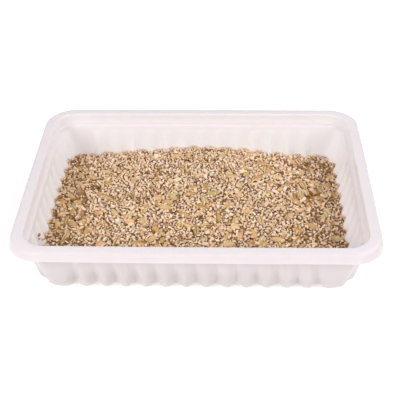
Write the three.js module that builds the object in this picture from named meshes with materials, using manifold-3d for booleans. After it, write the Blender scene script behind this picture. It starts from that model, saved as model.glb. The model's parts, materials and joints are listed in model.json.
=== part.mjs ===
// A cat grass tray: a thermoformed plastic tray with upright flutes, filled with a granular bed
// that has cereal grains lying in its surface. Millimetres, +Z up. The origin is on the table,
// under the middle of the tray. X runs along the tray, and its front faces -Y.

import * as THREE from 'three';
import Module from 'manifold-3d';

const wasm = await Module();
wasm.setup();

// ---------------------------------------------------------------- driving dimensions

const LENGTH = 187; // over the lip, along X
const WIDTH = 137; // over the lip, along Y
const HEIGHT = 36; // table to the top of the rim
const SHEET = 0.8; // thickness of the formed plastic
const GAP = 0.3; // clearance between neighbouring pieces
const BED_GAP = 0.5; // the same between the bed and the tray, whose flutes are faceted
const SIDE_BOW = 0.32; // how far each side bulges at its middle

const FLUTE_PITCH = 10.47;
const FLUTES_LONG = 6; // grooves on each side of the middle one, long walls
const FLUTES_SHORT = 4; // the same on the short walls
const FLUTE_TOP = 9; // the flutes start this far below the rim
const FLUTE_LEAD = 2; // height in which a groove reaches its first depth
const FLUTE_MIDDLE = 20; // drop of the ring halfway down the flutes
const FLUTE_DEPTH_TOP = 0.9;
const FLUTE_DEPTH_BASE = 3.6;
const FLUTE_CURVE = 1.25; // 1 deepens evenly, more deepens slowly at first
const FLUTE_SOFTENING = 0.4; // how much shallower their tops are on the inside of the sheet
const FLUTE_ROUNDING = 0.3; // 0 is a sharp groove, more is a rounder one
const CORNER_GROOVE_HALF = 5.5; // half the width of the groove on each corner
const CORNER_GROOVE_SHARE = 0.6; // its depth as a share of the flutes' depth

const WALL_TOP = 8; // drop at which the plain wall begins
const WALL_INSET = { long: 8.98, short: 8.03 }; // there, from the overall outline
const WALL_SLOPE = { long: 0.147, short: 0.102 }; // inset gained per millimetre down
const WALL_RADIUS_TOP = 7; // corner radius in plan
const WALL_RADIUS_BASE = 12.6;
const BASE_FILLET = 7.1; // outside radius between the wall and the base

const BED_TOP = 17.6; // height of the heap in the middle of the tray
const BED_FALL_X = 2.4; // it falls this much from the middle to the right end, at 80 mm
const BED_DOME_X = 6.9; // and is this much lower at both ends
const BED_DOME_Y = 3.2; // and this much lower at the front and the back, at 55 mm
const BED_TWIST = 1.2;
const BED_LOWEST = 7.3;
const BED_MOUNDS = [ // low mounds against the wall
  { x: 5, y: 60, reachX: 24, reachY: 16, rise: 1.6 },
  { x: 72, y: 57, reachX: 15, reachY: 15, rise: 1.8 },
  { x: -80, y: 54, reachX: 8, reachY: 8, rise: 1.5 },
];
const BED_LUMPS = 0.4;

// ---------------------------------------------------------------- lofted solids

// A ring is a list of { s, point }, with s running once round it, anticlockwise seen from the
// direction in which the loft goes on. A ring of one point closes an end.
function stitch(indices, first, second) {
  const turn = (ring, k) => (k < ring.length ? ring[k].s : ring[k - ring.length].s + 1);
  let i = 0;
  let j = 0;
  const last = (ring) => (ring.length > 1 ? ring.length : 0);
  while (i < last(first) || j < last(second)) {
    const a = first[i % first.length].index;
    const b = second[j % second.length].index;
    const secondDone = j >= last(second);
    if (secondDone || (i < last(first) && turn(first, i + 1) <= turn(second, j + 1))) {
      indices.push(a, first[(i + 1) % first.length].index, b);
      i += 1;
    } else {
      indices.push(a, second[(j + 1) % second.length].index, b);
      j += 1;
    }
  }
}

function loft(rings) {
  const positions = [];
  const indices = [];
  const numbered = rings.map((ring) =>
    ring.map(({ s, point }) => {
      positions.push(point.x, point.y, point.z);
      return { s, index: positions.length / 3 - 1 };
    }),
  );
  for (let k = 0; k + 1 < numbered.length; k += 1) {
    stitch(indices, numbered[k], numbered[k + 1]);
  }
  const geometry = new THREE.BufferGeometry();
  geometry.setAttribute('position', new THREE.Float32BufferAttribute(positions, 3));
  geometry.setIndex(indices);
  return geometry;
}

function pole(x, y, z) {
  return [{ s: 0, point: new THREE.Vector3(x, y, z) }];
}

// ---------------------------------------------------------------- plan outlines of the tray

// How deep a groove is at u pitches from its middle: 1 in the middle, 0 half a pitch away.
function grooveShape(u) {
  const wave = (x) => Math.hypot(Math.sin(Math.PI * x), FLUTE_ROUNDING) - FLUTE_ROUNDING;
  return 1 - wave(u) / wave(0.5);
}

function grooveAt(t, count, tCorner) {
  const u = t / FLUTE_PITCH;
  const flute = u < count + 0.5 ? grooveShape(u) : 0;
  const fromCorner = tCorner - t;
  const inCorner = fromCorner < CORNER_GROOVE_HALF;
  const corner = inCorner ? CORNER_GROOVE_SHARE * grooveShape(fromCorner / CORNER_GROOVE_HALF / 2) : 0;
  return Math.max(flute, corner);
}

// Distances from the middle of a side at which a ring has points: quarter pitches along the
// flutes, then even steps to the middle of the corner.
const QUARTERS = 4;
const CORNER_STEPS = { long: 6, short: 4 };
const STATIONS = {
  long: FLUTES_LONG * QUARTERS + CORNER_STEPS.long,
  short: FLUTES_SHORT * QUARTERS + CORNER_STEPS.short,
};

function stationDistance(k, count, steps, tCorner) {
  const fluted = count * QUARTERS;
  const end = count * FLUTE_PITCH;
  if (k <= fluted) return (k * FLUTE_PITCH) / QUARTERS;
  return end + ((k - fluted) / steps) * (tCorner - end);
}

// Half of one side, from its middle to the middle of the corner. along and across are half
// sizes. It gives pairs of [along, across].
function halfSide({ along, across, radius, depth }, count, steps) {
  const straight = along - radius;
  const tCorner = straight + (radius * Math.PI) / 4;
  const points = [];
  for (let k = 0; k <= count * QUARTERS + steps; k += 1) {
    const t = stationDistance(k, count, steps, tCorner);
    const angle = Math.max(0, t - straight) / radius;
    const offset = SIDE_BOW * (1 - (t / tCorner) ** 2) - depth * grooveAt(t, count, tCorner);
    const reach = radius + offset;
    points.push([
      Math.min(t, straight) + reach * Math.sin(angle),
      across - radius + reach * Math.cos(angle),
    ]);
  }
  return points;
}

// One quarter of a ring, from the middle of the right wall round to the middle of the back one.
function quarterRing({ long, short, radius, depth }) {
  const halfX = LENGTH / 2 - short;
  const halfY = WIDTH / 2 - long;
  const right = halfSide(
    { along: halfY, across: halfX, radius, depth }, FLUTES_SHORT, CORNER_STEPS.short,
  ).map(([along, across]) => [across, along]);
  const back = halfSide(
    { along: halfX, across: halfY, radius, depth }, FLUTES_LONG, CORNER_STEPS.long,
  ).reverse();
  return [...right, ...back.slice(1)];
}

// Which stations a ring keeps: all of them, every second one or every fourth one along the
// flutes. The corners always keep all of theirs.
function keepStation(k, every) {
  const fromRight = k;
  const fromBack = STATIONS.short + STATIONS.long - k;
  const inRight = fromRight < FLUTES_SHORT * QUARTERS;
  const inBack = fromBack < FLUTES_LONG * QUARTERS;
  if (inRight) return fromRight % every === 0;
  if (inBack) return fromBack % every === 0;
  return true;
}

// A whole ring of the tray at one height. heightAt(x, y) gives z where it isn't level.
function planRing(section, every = 1, heightAt = () => HEIGHT - section.drop) {
  const quarter = quarterRing(section);
  const steps = quarter.length - 1;
  const ring = [];
  for (let q = 0; q < 4; q += 1) {
    const mirrored = q % 2 === 1;
    const signX = q === 1 || q === 2 ? -1 : 1;
    const signY = q >= 2 ? -1 : 1;
    for (let k = 0; k < steps; k += 1) {
      const station = mirrored ? steps - k : k;
      if (!keepStation(station, every)) continue;
      const x = signX * quarter[station][0];
      const y = signY * quarter[station][1];
      ring.push({ s: (q + k / steps) / 4, point: new THREE.Vector3(x, y, heightAt(x, y)) });
    }
  }
  return ring;
}

// ---------------------------------------------------------------- wall sections

// A level section of the wall at a drop below the rim, moved inwards by the given amount.
const FILLET_DROP = HEIGHT - BASE_FILLET;
const FILLET_START = Math.atan((WALL_SLOPE.long + WALL_SLOPE.short) / 2);

function wallSection(drop, inward) {
  const fillet = BASE_FILLET - inward;
  const tangent = FILLET_DROP + fillet * Math.sin(FILLET_START);
  const run = Math.min(drop, tangent) - WALL_TOP;
  const turned = Math.asin(THREE.MathUtils.clamp((drop - FILLET_DROP) / fillet, 0, 1));
  const curl = drop > tangent ? fillet * (Math.cos(FILLET_START) - Math.cos(turned)) : 0;
  const lead = THREE.MathUtils.clamp((drop - FLUTE_TOP) / FLUTE_LEAD, 0, 1);
  const deepen = THREE.MathUtils.clamp((drop - FLUTE_TOP) / (FILLET_DROP + 1 - FLUTE_TOP), 0, 1);
  const soften = FLUTE_SOFTENING * lead * (1 - deepen) * Math.min(1, inward / SHEET);
  const widen = (drop - WALL_TOP) / (HEIGHT - WALL_TOP);
  return {
    drop,
    long: WALL_INSET.long + WALL_SLOPE.long * run + curl + inward,
    short: WALL_INSET.short + WALL_SLOPE.short * run + curl + inward,
    radius: WALL_RADIUS_TOP + (WALL_RADIUS_BASE - WALL_RADIUS_TOP) * widen - inward,
    depth: FLUTE_DEPTH_TOP * lead + (FLUTE_DEPTH_BASE - FLUTE_DEPTH_TOP) * deepen ** FLUTE_CURVE - soften,
  };
}

// Drops of the rings round the base fillet, from the flat base up to where the wall begins.
function filletDrops(inward) {
  const fillet = BASE_FILLET - inward;
  const steps = 3;
  const drops = [];
  for (let k = 0; k <= steps; k += 1) {
    const angle = THREE.MathUtils.lerp(Math.PI / 2, FILLET_START, k / steps);
    drops.push(FILLET_DROP + fillet * Math.sin(angle));
  }
  return drops;
}

// ---------------------------------------------------------------- tray

// The rim's section, from the wall out under the flange, round the lip and back over the top.
// Inside the flat flange a rounded step goes down to a narrow ledge at the head of the wall.
// Each row is the inset from the overall outline, the drop below the top and the plan radius.
const RIM_UNDER = [
  [6.9, 6.65, 11.6], [6.35, 5.4, 12], [6.05, 1.3, 12.5], [5.6, 0.8, 12.7], [2.3, 0.8, 14.5], [1.75, 1.2, 15],
];
const RIM_LIP = [[1.45, 1.8, 15.2], [0.78, 5.2, 14.4], [0, 5.2, 15.2], [0.58, 1.7, 15.9]];
const RIM_TOP = [
  [1.02, 0.55, 16], [1.9, 0, 15.2], [6.3, 0, 12.1], [6.74, 0.4, 11.8], [6.98, 3.2, 11.5], [7.3, 4.9, 11.1],
  [8.05, 5.85, 9.9],
];
const SHOULDER_UNDER = { long: 8.85, short: 7.98, drop: 7.15, radius: 8.1, depth: 0 };
const SHOULDER_TOP = { long: 9.55, short: 8.75, drop: 6.3, radius: 7.4, depth: 0 };

function rimRing([inset, drop, radius]) {
  return planRing({ long: inset, short: inset, drop, radius, depth: 0 }, QUARTERS);
}

function wallRings(inward) {
  const drops = [...filletDrops(inward), FLUTE_MIDDLE, FLUTE_TOP + FLUTE_LEAD];
  const fluted = drops.map((drop) => planRing(wallSection(drop, inward)));
  return [...fluted, planRing(wallSection(FLUTE_TOP, inward), QUARTERS)];
}

function trayGeometry() {
  return loft([
    pole(0, 0, 0),
    ...wallRings(0),
    planRing(SHOULDER_UNDER, QUARTERS),
    ...[...RIM_UNDER, ...RIM_LIP, ...RIM_TOP].map(rimRing),
    planRing(SHOULDER_TOP, QUARTERS),
    ...wallRings(SHEET).reverse(),
    pole(0, 0, SHEET),
  ]);
}

// ---------------------------------------------------------------- granular bed

function bedHeight(x, y) {
  const u = x / 80;
  const v = y / 55;
  const dome = BED_TOP - BED_FALL_X * u - BED_DOME_X * u * u - BED_DOME_Y * v * v + BED_TWIST * u * v;
  return BED_MOUNDS.reduce(
    (height, m) => height + m.rise * Math.exp(-(((x - m.x) / m.reachX) ** 2) - ((y - m.y) / m.reachY) ** 2),
    Math.max(dome, BED_LOWEST),
  );
}

function lumpyBedHeight(x, y) {
  const coarse = Math.sin(x / 6.1 + 0.4) * Math.cos(y / 5.3);
  const fine = Math.sin((x + 1.7 * y) / 3.9) * Math.cos((1.3 * x - y) / 4.7);
  return bedHeight(x, y) + BED_LUMPS * (coarse + fine);
}

// The line where the bed's surface meets the wall. Each point is moved down the wall until it is
// as high as the surface there.
function bedEdge(inward) {
  const overSurface = ({ x, y, z }) => z - bedHeight(x, y);
  const levels = [18, 20, 22, 24, 26, 28, 30].map((d) => planRing(wallSection(d, inward), 2));
  return levels[0].map(({ s }, k) => {
    for (let n = 0; n + 1 < levels.length; n += 1) {
      const upper = levels[n][k].point;
      const lower = levels[n + 1][k].point;
      const above = overSurface(upper);
      const below = overSurface(lower);
      if (below <= 0) return { s, point: upper.clone().lerp(lower, above / (above - below)) };
    }
    return { s, point: levels.at(-1)[k].point.clone() };
  });
}

function bedGeometry() {
  const inward = SHEET + BED_GAP;
  const sides = filletDrops(inward).map((drop) => planRing(wallSection(drop, inward), 2));
  const edge = bedEdge(inward);
  const inner = [0.93, 0.84, 0.74, 0.64, 0.53, 0.42, 0.31, 0.2, 0.1].map((scale, k) =>
    edge.filter((_, i) => i % (k < 5 ? 2 : 4) === 0).map(({ s, point }) => {
      const x = point.x * scale;
      const y = point.y * scale;
      return { s, point: new THREE.Vector3(x, y, lumpyBedHeight(x, y)) };
    }),
  );
  return loft([pole(0, 0, inward), ...sides, edge, ...inner, pole(0, 0, lumpyBedHeight(0, 0))]);
}

// ---------------------------------------------------------------- grains

const KINDS = {
  husked: { length: 9, width: 3.5, thickness: 2.8, color: 0xcfa759 },
  green: { length: 8.6, width: 3.2, thickness: 2.6, color: 0xc2b068 },
  naked: { length: 6.2, width: 3.2, thickness: 2.8, color: 0xd09a5c },
};

// Where the grains lie, picked by hand: the kind, x, y and the heading in degrees from +X.
const GRAINS = [
  // left end
  ['husked', -77, -19, 100], ['husked', -68, -19, -35], ['green', -71, -29, 65],
  ['naked', -78, 2, 25], ['husked', -73, 7, -50], ['green', -70, -4, -60],
  ['green', -70, 29, -60], ['husked', -64, 26, -45], ['husked', -72, 38, -20],
  // middle, left of centre
  ['green', -46, -11, -60], ['naked', -37, -19, -25], ['husked', -31, -37, -5],
  ['naked', -22, -26, -70], ['husked', -7, -14, -30], ['green', -15, 3, -40],
  ['naked', -23, 1, -30], ['husked', -52, 4, -30], ['green', -28, 45, -45],
  // middle, right of centre
  ['naked', 7, -17, -30], ['green', -1, -26, -85], ['husked', 1, -6, -25],
  ['husked', 3, 13, -60], ['green', 8, 7, 15], ['husked', 16, -36, 5],
  ['naked', 20, -22, 35], ['husked', 30, -26, -75], ['husked', 34, -15, -80],
  ['husked', 43, -29, 0], ['green', 23, 16, -75], ['husked', 19, 25, -10],
  ['green', 13, 47, 60], ['husked', 33, 25, 40], ['husked', 37, 41, 0],
  // right end
  ['naked', 54, -20, -25], ['husked', 63, -15, -20], ['husked', 60, 22, -70],
  ['green', 56, 13, -10], ['husked', 65, 15, 30], ['husked', 55, 5, -35],
  ['husked', 62, 3, -70], ['green', 72, 0, -45], ['green', 75, -22, -10],
  ['green', 57, 35, -25], ['husked', 45, 28, -10], ['husked', 55, 47, -60],
];

const GRAIN_RISE = 0.2; // the middle of a grain lies this far above the bed's surface
const GRAIN_ROCK = 6; // the most that a grain's nose tips up or down, in degrees

// Half the length and half the width of a grain, as shares, from the germ end to the brush end.
const GRAIN_RINGS = [[-0.74, 0.6], [-0.28, 0.98], [0.24, 0.96], [0.72, 0.58]];
const POCKET_RINGS = [[-0.5, 1], [0.5, 1]];

function spindle(length, width, thickness, rings, sides) {
  const loops = rings.map(([along, share]) => {
    const ring = [];
    for (let k = 0; k < sides; k += 1) {
      const angle = (2 * Math.PI * (k + 0.5)) / sides;
      const y = 0.5 * width * share * Math.cos(angle);
      const z = 0.5 * thickness * share * Math.sin(angle);
      ring.push({ s: k / sides, point: new THREE.Vector3(0.5 * length * along, y, z) });
    }
    return ring;
  });
  return loft([pole(-length / 2, 0, 0), ...loops, pole(length / 2, 0, 0)]);
}

function grainGeometry({ length, width, thickness }) {
  return spindle(length, width, thickness, GRAIN_RINGS, 8);
}

// The hollow that a grain presses into the bed: five-sided, so it is widened to clear the grain.
function pocketGeometry({ length, width, thickness }) {
  const sides = 5;
  const widen = (size) => (size + 2 * GAP) / Math.cos(Math.PI / sides);
  return spindle(length + 5 * GAP, widen(width), widen(thickness), POCKET_RINGS, sides);
}

// A grain lies along the surface where it is, with its own heading and a small rock.
function grainPlacement([, x, y, heading], index) {
  const step = 1;
  const slopeX = (bedHeight(x + step, y) - bedHeight(x - step, y)) / (2 * step);
  const slopeY = (bedHeight(x, y + step) - bedHeight(x, y - step)) / (2 * step);
  const up = new THREE.Vector3(-slopeX, -slopeY, 1).normalize();
  const turn = THREE.MathUtils.degToRad(heading);
  const nose = new THREE.Vector3(Math.cos(turn), Math.sin(turn), 0).projectOnPlane(up).normalize();
  const side = new THREE.Vector3().crossVectors(up, nose);
  const rock = THREE.MathUtils.degToRad(GRAIN_ROCK * Math.sin(2.4 * index));
  nose.applyAxisAngle(side, rock);
  up.applyAxisAngle(side, rock);
  const matrix = new THREE.Matrix4().makeBasis(nose, side, up);
  return matrix.setPosition(x, y, bedHeight(x, y) + GRAIN_RISE);
}

// ---------------------------------------------------------------- cutting the pockets

function toManifold(geometry) {
  return new wasm.Manifold(
    new wasm.Mesh({
      numProp: 3,
      vertProperties: Float32Array.from(geometry.getAttribute('position').array),
      triVerts: Uint32Array.from(geometry.getIndex().array),
    }),
  );
}

function toGeometry(solid) {
  const { vertProperties, triVerts } = solid.getMesh();
  const geometry = new THREE.BufferGeometry();
  geometry.setAttribute('position', new THREE.Float32BufferAttribute(vertProperties, 3));
  geometry.setIndex(Array.from(triVerts));
  return geometry;
}

function bedWithPockets() {
  let bed = toManifold(bedGeometry());
  GRAINS.forEach((grain, index) => {
    const pocket = pocketGeometry(KINDS[grain[0]]).applyMatrix4(grainPlacement(grain, index));
    bed = bed.subtract(toManifold(pocket));
  });
  return toGeometry(bed);
}

// ---------------------------------------------------------------- assembly

const group = new THREE.Group();

function add(name, geometry, material) {
  const mesh = new THREE.Mesh(geometry, new THREE.MeshStandardMaterial(material));
  mesh.name = name;
  group.add(mesh);
  return mesh;
}

add('tray', trayGeometry(), { color: 0xf1e9ea, roughness: 0.32, metalness: 0 });
add('substrate_bed', bedWithPockets(), { color: 0xc8a886, roughness: 0.95, metalness: 0 });

GRAINS.forEach((grain, index) => {
  const kind = KINDS[grain[0]];
  const name = `seed_${String(index + 1).padStart(2, '0')}`;
  const mesh = add(name, grainGeometry(kind), { color: kind.color, roughness: 0.6, metalness: 0 });
  mesh.applyMatrix4(grainPlacement(grain, index));
});

export default group;
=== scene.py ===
"""A cat grass tray dressed for rendering: a fluted plastic tray, a bed of loose granules, and the
cereal grains that lie in it. Shapes are worked out in millimetres and become metres when a mesh
is made. +X runs along the tray, and its front faces -Y."""

import json
import math

import bpy
import numpy as np
from mathutils import Matrix, Vector


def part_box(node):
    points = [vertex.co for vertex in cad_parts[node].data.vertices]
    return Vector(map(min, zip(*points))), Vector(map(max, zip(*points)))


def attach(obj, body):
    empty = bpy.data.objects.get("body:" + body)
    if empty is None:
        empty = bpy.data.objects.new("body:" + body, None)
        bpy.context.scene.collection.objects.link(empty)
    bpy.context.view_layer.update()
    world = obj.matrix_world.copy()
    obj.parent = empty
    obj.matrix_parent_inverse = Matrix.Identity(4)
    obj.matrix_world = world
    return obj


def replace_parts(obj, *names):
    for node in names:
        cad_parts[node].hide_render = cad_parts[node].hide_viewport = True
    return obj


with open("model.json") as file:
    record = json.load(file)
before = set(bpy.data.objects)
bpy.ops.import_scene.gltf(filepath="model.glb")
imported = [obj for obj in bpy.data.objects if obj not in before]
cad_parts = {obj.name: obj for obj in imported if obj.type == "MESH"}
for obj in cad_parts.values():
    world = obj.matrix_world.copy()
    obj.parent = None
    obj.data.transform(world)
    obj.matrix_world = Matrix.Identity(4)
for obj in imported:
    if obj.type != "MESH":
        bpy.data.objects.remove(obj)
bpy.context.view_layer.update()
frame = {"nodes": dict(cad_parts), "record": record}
MM = 0.001
RNG = np.random.default_rng(7)

# ------------------------ the tray's sizes, in millimetres

TRAY_LOW, TRAY_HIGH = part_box("tray")
SIDE_BOW = 0.32  # how far each side bulges at its middle
LENGTH = (TRAY_HIGH.x - TRAY_LOW.x) / MM - 2 * SIDE_BOW
WIDTH = (TRAY_HIGH.y - TRAY_LOW.y) / MM - 2 * SIDE_BOW
HEIGHT = (TRAY_HIGH.z - TRAY_LOW.z) / MM
SHEET = 0.8  # thickness of the formed plastic

WALL_TOP = 8.0  # a drop, measured down from the top of the rim as all drops are
WALL_INSET_LONG = 8.98
WALL_INSET_SHORT = 8.03
WALL_SLOPE_LONG = 0.147
WALL_SLOPE_SHORT = 0.102
WALL_RADIUS_TOP = 7.0
WALL_RADIUS_BASE = 12.6
BASE_FILLET = 7.1
FILLET_DROP = HEIGHT - BASE_FILLET
FILLET_START = math.atan((WALL_SLOPE_LONG + WALL_SLOPE_SHORT) / 2)

FLUTE_PITCH = 10.47
FLUTES_LONG = 6  # grooves on each side of the middle one
FLUTES_SHORT = 4
FLUTE_TOP = 9.0  # drop at which the flutes start
FLUTE_FULL = FILLET_DROP + 1  # drop at which they are deepest
FLUTE_LEAD = 2.0
FLUTE_DEPTH_TOP = 0.9
FLUTE_DEPTH_BASE = 3.6
FLUTE_CURVE = 1.25  # the grooves deepen slowly at first
FLUTE_SOFTENING = 0.4  # how much shallower their tops are on the inside of the sheet
FLUTE_ROUNDING = 0.3
CORNER_GROOVE_HALF = 5.5
CORNER_GROOVE_SHARE = 0.6

# ------------------------ meshes from arrays


def make_object(name, verts, faces, material, smooth=True, attributes=None):
    """A mesh object from millimetre vertices and an array of equal faces, or a list of arrays."""
    mesh = bpy.data.meshes.new(name)
    groups = faces if isinstance(faces, list) else [faces]
    loops = np.concatenate([g.ravel() for g in groups])
    sizes = np.concatenate([np.full(len(g), g.shape[1]) for g in groups])
    starts = np.concatenate([[0], np.cumsum(sizes)[:-1]])
    mesh.vertices.add(len(verts))
    mesh.vertices.foreach_set("co", (np.asarray(verts) * MM).astype(np.float32).ravel())
    mesh.loops.add(len(loops))
    mesh.loops.foreach_set("vertex_index", loops.astype(np.int32))
    mesh.polygons.add(len(sizes))
    mesh.polygons.foreach_set("loop_start", starts.astype(np.int32))
    mesh.polygons.foreach_set("loop_total", sizes.astype(np.int32))
    mesh.polygons.foreach_set("use_smooth", np.full(len(sizes), smooth))
    mesh.update(calc_edges=True)
    for key, values in (attributes or {}).items():
        layer = mesh.attributes.new(key, "FLOAT", "POINT")
        layer.data.foreach_set("value", np.asarray(values, np.float32))
    mesh.materials.append(material)
    obj = bpy.data.objects.new(name, mesh)
    bpy.context.scene.collection.objects.link(obj)
    return obj


def loft_faces(rings, around):
    """Quads between rings of equal length."""
    k = np.arange(rings - 1)[:, None]
    i = np.arange(around)[None, :]
    j = (i + 1) % around
    a = k * around + i
    b = k * around + j
    return np.stack([a, b, b + around, a + around], -1).reshape(-1, 4)


def closed_loft(rings, start, end):
    """A closed skin over rings of equal length, with a point at each end."""
    rings = np.asarray(rings)
    count, around = rings.shape[:2]
    verts = np.concatenate([rings.reshape(-1, 3), [start], [end]])
    i = np.arange(around)
    j = (i + 1) % around
    low = np.stack([np.full(around, len(verts) - 2), j, i], -1)
    last = (count - 1) * around
    high = np.stack([last + i, last + j, np.full(around, len(verts) - 1)], -1)
    return verts, [loft_faces(count, around), low, high]


# ------------------------ the tray's plan outline

POINTS_PER_FLUTE = 14
CORNER_POINTS = 22


def groove_shape(u):
    """How deep a groove is at u pitches from its middle: 1 in the middle, 0 half a pitch away."""
    def wave(x):
        return np.hypot(np.sin(np.pi * x), FLUTE_ROUNDING) - FLUTE_ROUNDING

    return 1 - wave(u) / wave(0.5)


def half_side(along, across, radius, depth, flutes):
    """Half of one side, from its middle to the middle of the corner, as (along, across) pairs."""
    straight = along - radius
    corner = straight + radius * math.pi / 4
    fluted = flutes * FLUTE_PITCH
    t = np.concatenate([
        np.linspace(0, fluted, flutes * POINTS_PER_FLUTE, endpoint=False),
        np.linspace(fluted, corner, CORNER_POINTS + 1),
    ])
    u = t / FLUTE_PITCH
    flute = np.where(u < flutes + 0.5, groove_shape(u), 0)
    v = (corner - t) / (2 * CORNER_GROOVE_HALF)
    corner_groove = np.where(v < 0.5, CORNER_GROOVE_SHARE * groove_shape(v), 0)
    offset = SIDE_BOW * (1 - (t / corner) ** 2) - depth * np.maximum(flute, corner_groove)
    angle = np.maximum(0, t - straight) / radius
    reach = radius + offset
    return np.stack([
        np.minimum(t, straight) + reach * np.sin(angle),
        across - radius + reach * np.cos(angle),
    ], -1)


def plan_ring(section):
    """A level ring round the whole tray, anticlockwise seen from above."""
    long, short, drop, radius, depth = section
    half_x = LENGTH / 2 - short
    half_y = WIDTH / 2 - long
    right = half_side(half_y, half_x, radius, depth, FLUTES_SHORT)[:, ::-1]
    back = half_side(half_x, half_y, radius, depth, FLUTES_LONG)[::-1]
    quarter = np.concatenate([right, back[1:]])
    parts = [
        quarter[:-1],
        (quarter * [-1, 1])[::-1][:-1],
        (quarter * [-1, -1])[:-1],
        (quarter * [1, -1])[::-1][:-1],
    ]
    xy = np.concatenate(parts)
    return np.column_stack([xy, np.full(len(xy), HEIGHT - drop)])


# ------------------------ the tray's wall


def flute_depth(drop, inward):
    """Depth of the grooves at a drop: a quick rounded lead, then deeper all the way down."""
    lead = np.clip((drop - FLUTE_TOP) / FLUTE_LEAD, 0, 1)
    lead = lead * lead * (3 - 2 * lead)
    deepen = np.clip((drop - FLUTE_TOP) / (FLUTE_FULL - FLUTE_TOP), 0, 1)
    depth = FLUTE_DEPTH_TOP * lead + (FLUTE_DEPTH_BASE - FLUTE_DEPTH_TOP) * deepen ** FLUTE_CURVE
    return depth - FLUTE_SOFTENING * lead * (1 - deepen) * min(1, inward / SHEET)


def wall_section(drop, inward):
    """Insets, drop, radius and flute depth of the wall at a drop, moved inwards by an amount."""
    fillet = BASE_FILLET - inward
    tangent = FILLET_DROP + fillet * math.sin(FILLET_START)
    run = min(drop, tangent) - WALL_TOP
    turned = math.asin(min(1, max(0, (drop - FILLET_DROP) / fillet)))
    curl = fillet * (math.cos(FILLET_START) - math.cos(turned)) if drop > tangent else 0
    widen = (drop - WALL_TOP) / (HEIGHT - WALL_TOP)
    return (
        WALL_INSET_LONG + WALL_SLOPE_LONG * run + curl + inward,
        WALL_INSET_SHORT + WALL_SLOPE_SHORT * run + curl + inward,
        drop,
        WALL_RADIUS_TOP + (WALL_RADIUS_BASE - WALL_RADIUS_TOP) * widen - inward,
        float(flute_depth(drop, inward)),
    )


def wall_sections(inward, start=WALL_TOP + 0.5, upper_steps=22, fillet_steps=9):
    """Wall sections from a drop, just under the shoulder, down to the edge of the flat base."""
    fillet = BASE_FILLET - inward
    tangent = FILLET_DROP + fillet * math.sin(FILLET_START)
    upright = np.linspace(start, tangent, upper_steps)
    angles = np.linspace(FILLET_START, math.pi / 2, fillet_steps + 1)[1:]
    drops = [*upright, *(FILLET_DROP + fillet * np.sin(angles))]
    return [wall_section(float(drop), inward) for drop in drops]


# ------------------------ the rim and the whole shell

# Corners of the rim's section: inset on the long and short sides, drop, plan radius, rounding.
# Inside the flat flange a steep step goes down to a narrow ledge, and from there to the wall.
RIM_TOP = [
    (0.0, 0.0, 5.2, 15.2, 0.3),
    (0.85, 0.85, 0.0, 16.0, 1.9),
    (6.7, 6.7, 0.0, 11.8, 0.6),
    (7.2, 7.2, 5.6, 11.2, 2.6),
    (9.55, 8.75, 6.3, 7.4, 0.7),
]
RIM_UNDER = [
    (8.85, 7.98, 7.15, 8.1, 0.5),
    (6.4, 6.4, 6.4, 12.0, 1.6),
    (6.0, 6.0, 0.8, 12.5, 0.5),
    (1.62, 1.62, 0.8, 15.2, 0.9),
    (0.78, 0.78, 5.2, 14.4, 0.3),
]
ROUNDING_POINTS = 6
ROUNDING_SHARE = 0.48  # the most of an edge that the rounding at one end takes
BASE_RINGS = (0.75, 0.4)  # rings on the flat base, each a share of the ring outside it

# Painted light and shade on the sheet: how light each region is painted, as a share of the tint.
# It is fitted to the look under these lights, and isn't a property of the plastic.
PAINTED_LIGHT_RANGE = (0.6, 1.2)
PAINTED_LIGHT_OUTSIDE = ((8, 0.62), (20, 0.72), (30, 0.71), (35, 0.74))  # drop and share
PAINTED_LIGHT_INSIDE = ((8, 1.05), (20, 1.06), (32, 1.06))
PAINTED_LIGHT_UNDER = 1  # under the rim, up to the lip
PAINTED_LIGHT_LIP = 0.80
PAINTED_LIGHT_FLANGE = 0.915
PAINTED_LIGHT_STEP = 1.06
PAINTED_LIGHT_LEDGE = 0.92


def rounded_profile(start, corners, end):
    """Rows of (long, short, drop, radius, 0) along a polyline whose corners are rounded."""
    rows = [np.array(start[:4])]
    path = [np.array(start[:4]), *[np.array(c[:4]) for c in corners], np.array(end[:4])]
    for k, corner in enumerate(corners, start=1):
        before = path[k - 1] - path[k]
        after = path[k + 1] - path[k]
        reach_before = min(ROUNDING_SHARE, corner[4] / np.hypot(before[0], before[2]))
        reach_after = min(ROUNDING_SHARE, corner[4] / np.hypot(after[0], after[2]))
        first = path[k] + before * reach_before
        last = path[k] + after * reach_after
        for s in np.linspace(0, 1, ROUNDING_POINTS):
            rows.append((1 - s) ** 2 * first + 2 * s * (1 - s) * path[k] + s * s * last)
    return [(*row, 0.0) for row in rows]


def painted_light_shares(outer, inner):
    """The share of the tint for every ring of the shell, in the order of the rings: painted light and shade.
    """
    def down(sections, table):
        return np.interp([section[2] for section in sections], *zip(*table))

    outside = down(outer[::-1], PAINTED_LIGHT_OUTSIDE)
    inside_wall = down(inner, PAINTED_LIGHT_INSIDE)
    # the face after each corner of the rim, and the one before it
    after = [
        *[PAINTED_LIGHT_UNDER] * (len(RIM_UNDER) - 1), PAINTED_LIGHT_LIP,
        PAINTED_LIGHT_LIP, PAINTED_LIGHT_FLANGE, PAINTED_LIGHT_STEP, PAINTED_LIGHT_LEDGE, inside_wall[0],
    ]
    before = [outside[-1], *after]
    rim = [np.linspace(a, b, ROUNDING_POINTS) for a, b in zip(before, after)]
    base_under = np.repeat(outside[0], len(BASE_RINGS))
    base_top = np.repeat(inside_wall[-1], len(BASE_RINGS))
    return np.concatenate([base_under, outside, *rim, inside_wall, base_top])


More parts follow.
